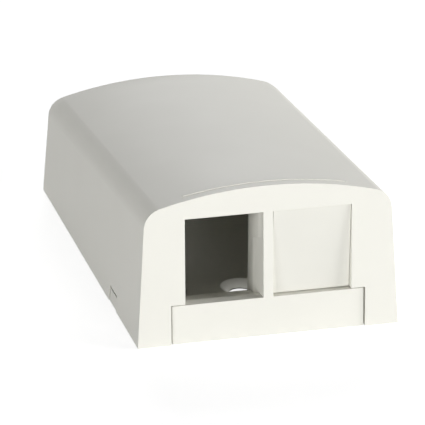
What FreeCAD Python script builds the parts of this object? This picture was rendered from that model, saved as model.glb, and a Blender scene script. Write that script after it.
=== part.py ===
import FreeCAD, Part
import math
import os

# Two-port surface mount jack box. Millimetres.
# Origin: centre of the footprint, on the mounting surface. +Z up, ports face -Y, cable entry faces +Y, +X right.

# Outer form of the cover
width = 49.8                 # across the side walls at the mounting surface
length = 84.0                # front wall to rear wall at the mounting surface
crown_height = 29.2          # middle of the roof above the mounting surface, at its front edge
crown_radius = 79.5          # arch of the roof, side to side
roof_slope = 4.7             # degrees that the roof falls towards the rear
bend_length = 8.5            # last stretch of the roof, which bends down to the rear wall
bend_radius = 28.0
draft = 3.5                  # degrees that all four walls lean in
shoulder_radius = 4.0        # edges between the roof and the side and rear walls
corner_radius = 4.6          # upright rear corners
wall = 2.0                   # side, front and rear walls
roof = 2.0                   # roof thickness

# T-shaped front cut-out of the cover: a wide window above a wider notch
window_half_width = 15.85
window_head = 5.05           # the window's head below the crown, measured up the leaning front face
notch_shoulder = 2.68        # how much wider the notch is on each side

# Low rib across the roof, behind and parallel to its front edge
rib_half_length = 15.5
rib_set_back = 2.4
rib_width = 0.6
rib_proud = 0.15

# Side notches of the cover, each with a lug of the base in it
catch_from_front = 20.0
catch_width = 5.8
catch_height = 3.2
catch_gap = 0.6              # slot left above the lug for a blade
lug_set_back = 0.15          # lugs behind the cover's skin

# Arched cable entry in the rear wall
entry_width = 14.0
entry_height = 9.0

# Base
floor_thickness = 1.5
fit_gap = 0.25               # between the base and the cover that drops over it
rim_height = 4.2
rim_thickness = 1.3
face_set_back = 0.35         # tongue and divider behind the cover's front face
tongue_thickness = 2.5
sill_height = 7.45           # top of the tongue, the lower edge of both ports
ledge_drop = 1.25            # ledge behind the tongue, below the sill
ledge_depth = 5.5
ledge_thickness = 1.6
divider_thickness = 1.85
frame_depth = 11.15          # upright rear of the divider and side posts, behind the cover's front foot
divider_gap = 0.1            # below the window's head
guide_proud = 0.2            # stepped guides on the port sides
guide_lead = 1.2             # length over which a guide rises from the port side
guide_upper_start = 1.55     # back from the tongue's face
guide_lower_start = 5.5
guide_step_drop = 5.35       # below the divider's top
guide_step_fall = 1.45       # between the upper start and the lower one
side_post_drop = 0.7         # side posts end lower than the divider, under the falling roof

# Countersunk screw holes on the centre line
screw_spacing = 44.0
screw_hole_radius = 2.2
countersink_radius = 3.85
countersink_depth = 1.3

# Cable tie bridges on the floor near the rear
bridge_spacing = 16.0
bridge_from_rear = 13.0
bridge_length = 7.0
bridge_depth = 4.0
bridge_height = 4.5
tie_width = 3.6
tie_height = 1.8

# Blank insert of the right-hand port
side_gap = 0.08              # each side between the blank and its port
end_gap = 0.1                # below the blank
blank_bottom_set_back = 1.15 # the blank's face slopes in towards its foot
blank_foot_radius = 0.45
blank_thickness = 1.3
skirt_inset = 0.5            # skirt inside the plate's edges, clear of the guides
skirt_thickness = 1.2
skirt_depth = 9.0
stop_rib_width = 0.8         # ribs beside the skirt that butt against the lower guides
stop_rib_height = 4.0        # midway between the sill and the step of the guides
stop_gap = 0.1

front_y = -length / 2
rear_y = length / 2
draft_run = math.tan(math.radians(draft))
window_top = crown_height - window_head
notch_half_width = window_half_width + notch_shoulder
notch_top = sill_height + fit_gap
post_top = window_top - divider_gap
guide_step = post_top - guide_step_drop
over = 1.0                   # how far cutting tools run past the skin
through = 3 * wall           # how far they reach in past a wall
tall = 2 * crown_height
bend_sweep = 35.0            # degrees, past the rear wall


def point(x, y, z):
    return FreeCAD.Vector(x, y, z)


def box(x0, x1, y0, y1, z0, z1):
    return Part.makeBox(x1 - x0, y1 - y0, z1 - z0, point(x0, y0, z0))


def leaned(shape):
    """Place a shape drawn on the front face: y from the face inwards, z up the face from its foot."""
    placed = shape.copy()
    placed.rotate(point(0, 0, 0), point(1, 0, 0), -draft)
    placed.translate(point(0, front_y, 0))
    return placed


def both_sides(shape):
    return shape.fuse(shape.mirror(point(0, 0, 0), point(1, 0, 0)))


def walls_block(inset, bottom, top):
    """Block with the four leaning walls and rounded rear corners, each wall inset at the mounting surface."""
    low = inset + draft_run * bottom
    high = inset + draft_run * top
    side = width / 2
    block = Part.makeWedge(low - side, bottom, low - rear_y, high - rear_y, high - side,
                           side - low, top, -front_y - low, -front_y - high, side - high)
    block.rotate(point(0, 0, 0), point(1, 0, 0), 90)
    corners = [edge for edge in block.Edges if edge.BoundBox.YMin > 0
               and edge.BoundBox.ZLength > (top - bottom) / 2]
    return block.makeFillet(corner_radius - inset, corners)


def under_arch(sink, depth):
    """Upright profile under the roof's arch, with the top of the unlowered arch at the origin."""
    radius = crown_radius - sink
    reach = width / 2 + over
    spring = -sink - (radius - math.sqrt(radius ** 2 - reach ** 2))
    left = point(-reach, 0, spring)
    right = point(reach, 0, spring)
    arch = Part.Arc(left, point(0, 0, -sink), right).toShape()
    sides = Part.makePolygon([right, point(reach, 0, -depth), point(-reach, 0, -depth), left])
    return Part.Face(Part.Wire([arch] + sides.Edges))


def under_roof(sink):
    """Everything under the arched roof lowered by sink: straight, then bent down along its last stretch."""
    bend = bend_radius - sink
    lead = crown_height / 2
    straight = length - bend_length - draft_run * crown_height
    front = under_arch(sink, tall)
    front.translate(point(0, -lead, 0))
    slab = front.extrude(point(0, lead + straight, 0))
    rear = under_arch(sink, bend / 2)
    rear.translate(point(0, straight, 0))
    curved = rear.revolve(point(0, straight, -sink - bend), point(-1, 0, 0), bend_sweep)
    reach = width / 2 + over
    below = box(-reach, reach, straight, straight + 2 * bend_length, -tall, -bend / 3)
    whole = slab.fuse([curved, below])
    whole.rotate(point(0, 0, 0), point(1, 0, 0), -roof_slope)
    whole.translate(point(0, front_y + draft_run * crown_height, crown_height))
    return whole


def box_form(inset, sink, bottom):
    """The box's closed form, inside its skin by inset at the walls and by sink at the roof."""
    form = walls_block(inset, bottom, tall).common(under_roof(sink)).removeSplitter()
    shoulders = [edge for edge in form.Edges if edge.BoundBox.YLength > length / 2
                 and edge.BoundBox.ZMin > crown_height / 3]
    return form.makeFillet(shoulder_radius - sink, shoulders)


def front_cut_out():
    window = box(-window_half_width, window_half_width, -through, through, sill_height, window_top)
    notch = box(-notch_half_width, notch_half_width, -through, through, -tall, notch_top)
    return leaned(window.fuse(notch))


def roof_rib():
    layer = under_roof(-rib_proud).cut(under_roof(roof / 2))
    strip = box(-rib_half_length, rib_half_length, rib_set_back, rib_set_back + rib_width, 0, tall)
    return layer.common(leaned(strip))


def side_notch():
    middle = front_y + catch_from_front
    return box(width / 2 - through, width / 2 + over, middle - catch_width / 2,
               middle + catch_width / 2, -over, catch_height)


def cable_entry():
    radius = entry_width / 2
    straight = entry_height - radius
    y0 = rear_y - through
    depth = through + over
    arch = Part.makeCylinder(radius, depth, point(0, y0, straight), point(0, 1, 0))
    return arch.fuse(box(-radius, radius, y0, y0 + depth, -over, straight))


def make_cover():
    cover = box_form(0, 0, 0).cut(box_form(wall, roof, -over))
    cover = cover.cut(front_cut_out())
    cover = cover.fuse(roof_rib())
    cover = cover.cut(both_sides(side_notch()))
    return cover.cut(cable_entry())


def base_floor():
    inset = wall + fit_gap
    return walls_block(inset, 0, floor_thickness)


def base_rim():
    """Low wall round the floor that the cover drops over, open at the front and at the cable entry."""
    inset = wall + fit_gap
    ring = walls_block(inset, 0, rim_height)
    ring = ring.cut(walls_block(inset + rim_thickness, -over, rim_height + over))
    gap = entry_width / 2 + fit_gap
    entry = box(-gap, gap, rear_y / 2, rear_y, floor_thickness, rim_height + over)
    front = box(-width, width, front_y, front_y + frame_depth, floor_thickness, rim_height + over)
    return ring.cut(entry).cut(front)


def tongue():
    half = notch_half_width - fit_gap
    return box(-half, half, face_set_back, face_set_back + tongue_thickness, -over, sill_height)


def ledge():
    top = sill_height - ledge_drop
    start = face_set_back + tongue_thickness
    return box(-window_half_width, window_half_width, start, start + ledge_depth, top - ledge_thickness, top)


def raised_strip(x, proud, start, top):
    """Strip on a port side at x that rises to its height, proud, along a sloping lead from its start."""
    front = face_set_back + start
    back = frame_depth
    outline = [point(x, front, 0), point(x + proud, front + guide_lead, 0), point(x + proud, back, 0),
               point(x, back, 0), point(x, front, 0)]
    return Part.Face(Part.makePolygon(outline)).extrude(point(0, 0, top))


def port_guide(x, proud, top):
    """Raised guide that starts near the front above a falling step, and further back below it."""
    upper = raised_strip(x, proud, guide_upper_start, top)
    lower = raised_strip(x, proud, guide_lower_start, top)
    first = face_set_back + guide_upper_start
    last = face_set_back + guide_lower_start
    end = 2 * last - first
    outline = [point(x - over, first, 0), point(x - over, first, guide_step),
               point(x - over, end, guide_step - 2 * guide_step_fall), point(x - over, end, 0),
               point(x - over, first, 0)]
    below_step = Part.Face(Part.makePolygon(outline)).extrude(point(2 * over, 0, 0))
    return upper.cut(below_step).fuse(lower)


def divider():
    half = divider_thickness / 2
    post = box(-half, half, face_set_back, frame_depth, -over, post_top)
    return post.fuse([port_guide(-half, -guide_proud, post_top), port_guide(half, guide_proud, post_top)])


def side_post():
    outer = notch_half_width - fit_gap
    top = post_top - side_post_drop
    post = box(window_half_width, outer, wall + fit_gap, frame_depth, -over, top)
    return post.fuse(port_guide(window_half_width, -guide_proud, top))


def jack_frame():
    frame = tongue().fuse([ledge(), divider(), both_sides(side_post())])
    room = box(-width, width, front_y - over, front_y + frame_depth, 0, tall)
    return leaned(frame).common(room)


def catch_lug():
    """Lug that fills the cover's side notch, a little inside its skin."""
    middle = front_y + catch_from_front
    half = catch_width / 2 - fit_gap
    top = catch_height - catch_gap
    lug = box(width / 2 - through, width, middle - half, middle + half, 0, top)
    return lug.common(walls_block(lug_set_back, 0, crown_height))


def screw_hole(y):
    shaft = Part.makeCylinder(screw_hole_radius, floor_thickness + 2 * over, point(0, y, -over))
    cone = Part.makeCone(screw_hole_radius, countersink_radius, countersink_depth,
                         point(0, y, floor_thickness - countersink_depth))
    return shaft.fuse(cone)


def tie_bridge(x):
    y0 = rear_y - bridge_from_rear - bridge_depth
    block = box(x - bridge_length / 2, x + bridge_length / 2, y0, y0 + bridge_depth, 0,
                floor_thickness + bridge_height)
    slot = box(x - tie_width / 2, x + tie_width / 2, y0 - over, y0 + bridge_depth + over,
               floor_thickness, floor_thickness + tie_height)
    return block.cut(slot)


def make_base():
    bridges = [tie_bridge(-bridge_spacing / 2), tie_bridge(bridge_spacing / 2)]
    base = base_floor().fuse([base_rim(), jack_frame(), both_sides(catch_lug())] + bridges)
    base = base.removeSplitter()
    return base.cut([screw_hole(-screw_spacing / 2), screw_hole(screw_spacing / 2)])


def sloped_prism(x0, x1, bottom, top, back, behind):
    """Prism whose front follows the blank's sloping face, moved in by behind."""
    rise = post_top - sill_height - end_gap
    lean_per_mm = blank_bottom_set_back / rise
    head = face_set_back + behind + lean_per_mm * (post_top - top)
    foot = face_set_back + behind + lean_per_mm * (post_top - bottom)
    outline = [point(x0, head, top), point(x0, foot, bottom), point(x0, back, bottom),
               point(x0, back, top), point(x0, head, top)]
    return Part.Face(Part.makePolygon(outline)).extrude(point(x1 - x0, 0, 0))


def stop_rib(x0, x1):
    """Rib that meets the sloping lead of a lower guide where the lead is as high as the side gap."""
    back = face_set_back + guide_lower_start + guide_lead * side_gap / guide_proud - stop_gap
    bottom = (sill_height + guide_step - guide_step_fall - stop_rib_height) / 2
    return box(x0, x1, back - stop_rib_width, back, bottom, bottom + stop_rib_height)


def make_blank():
    """Plate whose face slopes in towards the sill, with a skirt behind it and a stop rib on each side."""
    x0 = divider_thickness / 2 + side_gap
    x1 = window_half_width - side_gap
    low = sill_height + end_gap
    back = face_set_back + skirt_depth
    plate = sloped_prism(x0, x1, low, post_top, back, 0)
    foot = min(plate.Edges, key=lambda edge: edge.CenterOfMass.y + edge.CenterOfMass.z)
    plate = plate.makeFillet(blank_foot_radius, [foot])
    behind = sloped_prism(x0 - over, x1 + over, low - over, post_top + over, back + over, blank_thickness)
    plate = plate.cut(behind)
    s0 = x0 + skirt_inset
    s1 = x1 - skirt_inset
    body = sloped_prism(s0, s1, low, post_top - skirt_inset, back, blank_thickness / 2)
    hollow = sloped_prism(s0 + skirt_thickness, s1 - skirt_thickness, low + skirt_thickness,
                          post_top - skirt_inset - skirt_thickness, back + over, blank_thickness)
    ribs = [stop_rib(x0, s0 + over), stop_rib(s1 - over, x1)]
    return leaned(plate.fuse([body.cut(hollow)] + ribs)).removeSplitter()


def main():
    os.makedirs("parts", exist_ok=True)
    nodes = {"base": make_base(), "cover": make_cover(), "blank_insert": make_blank()}
    for name, shape in nodes.items():
        shape.exportStep("parts/" + name + ".step")
        print(name, "solids", len(shape.Solids), "valid", shape.isValid(), "volume", round(shape.Volume, 1))


main()
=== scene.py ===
import bpy
import math
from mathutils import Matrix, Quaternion, Vector

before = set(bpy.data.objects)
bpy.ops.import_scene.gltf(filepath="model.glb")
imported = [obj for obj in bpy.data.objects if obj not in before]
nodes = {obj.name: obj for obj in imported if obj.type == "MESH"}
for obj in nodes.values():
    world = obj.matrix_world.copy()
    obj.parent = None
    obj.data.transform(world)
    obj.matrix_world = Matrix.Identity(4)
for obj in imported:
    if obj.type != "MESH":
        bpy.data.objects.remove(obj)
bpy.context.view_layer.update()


# Base: one injection moulding in off-white ABS. Floor plate with countersunk screw holes, tongue under the
# ports, divider and side posts of the jack frame, guides, rim and tie bridges. It is screwed or taped down.

def linear(hex_colour):
    """An sRGB hex colour as linear RGBA: a channel v becomes v / 12.92 up to 0.04045, and above that
    (v + 0.055) / 1.055 to the power 2.4."""
    channels = [int(hex_colour[i:i + 2], 16) / 255 for i in (1, 3, 5)]
    return [v / 12.92 if v <= 0.04045 else ((v + 0.055) / 1.055) ** 2.4 for v in channels] + [1.0]


def node(tree, kind, settings=None, links=None, **values):
    """Adds a node: its properties, links from other nodes' outputs into it, and the values of its sockets."""
    made = tree.nodes.new(kind)
    for name, value in (settings or {}).items():
        setattr(made, name, value)
    for name, value in values.items():
        made.inputs[name.replace("_", " ")].default_value = value
    for name, output in (links or {}).items():
        tree.links.new(output, made.inputs[name])
    return made


def moulded_abs(name, colour, deep_colour, roughness, edge_radius):
    """ABS from a spark-eroded mould, a satin white. Flow marks about 12 mm apart vary its colour by one percent
    and its roughness by 0.03 either way. A grain of 0.15 mm, drawn at 0.3 mm so that it shows, breaks up the
    gloss, and edges are softened by edge_radius. The specular level is below that of polished ABS, because the
    eroded grain scatters what would be gloss."""
    flow_spacing, grain_spacing, grain_depth = 0.012, 0.0003, 0.00003
    roughness_swing = 0.03
    material = bpy.data.materials.new(name)
    material.use_nodes = True
    tree = material.node_tree
    tree.nodes.clear()
    place = node(tree, "ShaderNodeTexCoord").outputs["Object"]
    flow = node(tree, "ShaderNodeTexNoise", links={"Vector": place},
                Scale=1 / flow_spacing, Detail=2.0, Roughness=0.5)
    tint = node(tree, "ShaderNodeMix", {"data_type": "RGBA"}, {"Factor": flow.outputs["Fac"]})
    tint.inputs["A"].default_value = linear(colour)
    tint.inputs["B"].default_value = linear(deep_colour)
    satin = node(tree, "ShaderNodeMapRange", links={"Value": flow.outputs["Fac"]},
                 To_Min=roughness - roughness_swing, To_Max=roughness + roughness_swing)
    grain = node(tree, "ShaderNodeTexNoise", links={"Vector": place},
                 Scale=1 / grain_spacing, Detail=1.0, Roughness=0.5)
    edge = node(tree, "ShaderNodeBevel", {"samples": 6}, Radius=edge_radius)
    relief = node(tree, "ShaderNodeBump", links={"Height": grain.outputs["Fac"], "Normal": edge.outputs["Normal"]},
                  Strength=0.05, Distance=grain_depth)
    skin = node(tree, "ShaderNodeBsdfPrincipled",
                links={"Base Color": tint.outputs["Result"], "Roughness": satin.outputs["Result"],
                       "Normal": relief.outputs["Normal"]},
                IOR=1.53, Specular_IOR_Level=0.3)
    node(tree, "ShaderNodeOutputMaterial", links={"Surface": skin.outputs["BSDF"]})
    return material


def dress(piece, material):
    """Puts one material into every slot of a piece of the CAD model."""
    for slot in piece.material_slots:
        slot.material = material


base_abs = moulded_abs("abs_off_white_base", "#E9E8E0", "#E6E5DD", roughness=0.52, edge_radius=0.0001)
dress(nodes["base"], base_abs)


# Cover: one thin injection moulding in the same off-white ABS, the part that shows most. Arched roof that falls
# and bends to the rear, drafted walls, T-shaped cut-out round the jack frame. It clips on over the base's rim.

cover_abs = moulded_abs("abs_off_white", "#E9E8E0", "#E6E5DD", roughness=0.50, edge_radius=0.00004)
dress(nodes["cover"], cover_abs)


# Blank insert: a small off-white ABS moulding pushed into the right-hand port, where it closes the opening
# with a plate that slopes in towards the sill. Its skirt holds it between the divider and the side post.

# Its colours are a little darker than those of the base and cover: painted shade, standing in for the shade that
# falls on the plate in its recess.
blank_abs = moulded_abs("abs_off_white_blank", "#E3E2DA", "#E0DFD7", roughness=0.52, edge_radius=0.00005)
dress(nodes["blank_insert"], blank_abs)


# Floor: a sheet of matt white card that the box stands on. The camera sees it nearly white all over,
# with the box's soft shadow kept.

def seen_or_mirrored(tree):
    """One where the camera sees a surface itself, in gloss or through something clear, and zero elsewhere."""
    sight = node(tree, "ShaderNodeLightPath")
    seen_or_glossy = node(tree, "ShaderNodeMath", {"operation": "MAXIMUM"})
    tree.links.new(sight.outputs["Is Camera Ray"], seen_or_glossy.inputs[0])
    tree.links.new(sight.outputs["Is Glossy Ray"], seen_or_glossy.inputs[1])
    any_of_three = node(tree, "ShaderNodeMath", {"operation": "MAXIMUM"})
    tree.links.new(seen_or_glossy.outputs["Value"], any_of_three.inputs[0])
    tree.links.new(sight.outputs["Is Transmission Ray"], any_of_three.inputs[1])
    return any_of_three.outputs["Value"]


half = 3.0  # metres from the middle of the card to each edge
card = bpy.data.meshes.new("card_floor")
card.from_pydata([(-half, -half, 0), (half, -half, 0), (half, half, 0), (-half, half, 0)], [], [(0, 1, 2, 3)])
card_floor = bpy.data.objects.new("card_floor", card)
bpy.context.scene.collection.objects.link(card_floor)
matt_card = bpy.data.materials.new("matt_white_card")
matt_card.use_nodes = True
tree = matt_card.node_tree
tree.nodes.clear()
card_as_lit = node(tree, "ShaderNodeBsdfDiffuse", Color=linear("#DCDCDC"))
card_shadow = node(tree, "ShaderNodeBsdfDiffuse", Color=linear("#BCBCBC"))
card_glow = node(tree, "ShaderNodeEmission", Color=linear("#FFFFFF"), Strength=0.8)
card_as_seen = node(tree, "ShaderNodeAddShader")
tree.links.new(card_shadow.outputs["BSDF"], card_as_seen.inputs[0])
tree.links.new(card_glow.outputs["Emission"], card_as_seen.inputs[1])
card_finish = node(tree, "ShaderNodeMixShader", links={"Fac": seen_or_mirrored(tree)})
tree.links.new(card_as_lit.outputs["BSDF"], card_finish.inputs[1])
tree.links.new(card_as_seen.outputs["Shader"], card_finish.inputs[2])
node(tree, "ShaderNodeOutputMaterial", links={"Surface": card_finish.outputs["Shader"]})
card.materials.append(matt_card)


# Studio light: four soft lamps in a white surround that is seen but gives no light of its own. The lamps in
# front and at the sides stand low, so that little of their light falls through the ports onto the floor plate,
# and the one behind and above lights the roof.

surround = bpy.data.worlds.new("studio_surround")
bpy.context.scene.world = surround
surround.use_nodes = True
tree = surround.node_tree
tree.nodes.clear()
no_light = node(tree, "ShaderNodeBackground", Color=linear("#FFFFFF"), Strength=0.0)
white = node(tree, "ShaderNodeBackground", Color=linear("#FFFFFF"), Strength=1.0)
backdrop = node(tree, "ShaderNodeMixShader", links={"Fac": seen_or_mirrored(tree)})
tree.links.new(no_light.outputs["Background"], backdrop.inputs[1])
tree.links.new(white.outputs["Background"], backdrop.inputs[2])
node(tree, "ShaderNodeOutputWorld", links={"Surface": backdrop.outputs["Shader"]})


def soft_lamp(name, azimuth, elevation, power, size=0.5, distance=1.2):
    """A square lamp that faces the middle of the box, with its power in watts and its size and distance in
    metres. The direction away from the box has an azimuth, which is 0 in front and 90 on the right, and an
    elevation, both in degrees: (sin a cos e, -cos a cos e, sin e)."""
    box_middle = Vector((0, 0, 0.015))
    turn, rise = math.radians(azimuth), math.radians(elevation)
    away = Vector((math.sin(turn) * math.cos(rise), -math.cos(turn) * math.cos(rise), math.sin(rise)))
    panel = bpy.data.lights.new(name, "AREA")
    panel.size = size
    panel.energy = power
    lamp = bpy.data.objects.new(name, panel)
    bpy.context.scene.collection.objects.link(lamp)
    lamp.location = box_middle + away * distance
    lamp.rotation_mode = "QUATERNION"
    lamp.rotation_quaternion = away.to_track_quat("Z", "Y")


soft_lamp("front_lamp", azimuth=3, elevation=2, power=11.7)
soft_lamp("left_lamp", azimuth=-60, elevation=5, power=8.2)
soft_lamp("right_lamp", azimuth=70, elevation=13, power=10.1)
soft_lamp("rear_lamp", azimuth=165, elevation=35, power=6.6)


# Light table: the card under the box is lit from below, so some light comes up through the front screw hole
# and brightens its countersink. A disc lamp a little narrower than the 4.4 mm hole stands in for it, 0.2 mm up,
# where the countersink starts. The camera doesn't see the disc.

hole_y, countersink_foot = -0.022, 0.0002
table_light = bpy.data.lights.new("table_light", "AREA")
table_light.shape = "DISK"
table_light.size = 0.0042
table_light.energy = 0.00014
light_in_hole = bpy.data.objects.new("table_light", table_light)
bpy.context.scene.collection.objects.link(light_in_hole)
light_in_hole.location = (0, hole_y, countersink_foot)
light_in_hole.rotation_mode = "QUATERNION"
light_in_hole.rotation_quaternion = Quaternion((0, 1, 0), math.pi)
light_in_hole.visible_camera = False


# Camera: a long lens at the photograph's angle, from the front left and looking down on the box, with a roll
# of half a degree.

pan, downwards, roll = math.radians(-15.19), math.radians(22.415), math.radians(0.5565)
lens = bpy.data.cameras.new("camera")
lens.sensor_width = 36.0
lens.lens = 305.32
lens.clip_start, lens.clip_end = 0.01, 20
camera = bpy.data.objects.new("camera", lens)
bpy.context.scene.collection.objects.link(camera)
camera.location = (-0.169001, -0.623821, 0.274303)
camera.rotation_mode = "QUATERNION"
camera.rotation_quaternion = (Quaternion((0, 0, 1), pan) @ Quaternion((1, 0, 0), math.pi / 2 - downwards)
                              @ Quaternion((0, 0, 1), roll))
bpy.context.scene.camera = camera
bpy.context.scene.view_settings.view_transform = "Standard"
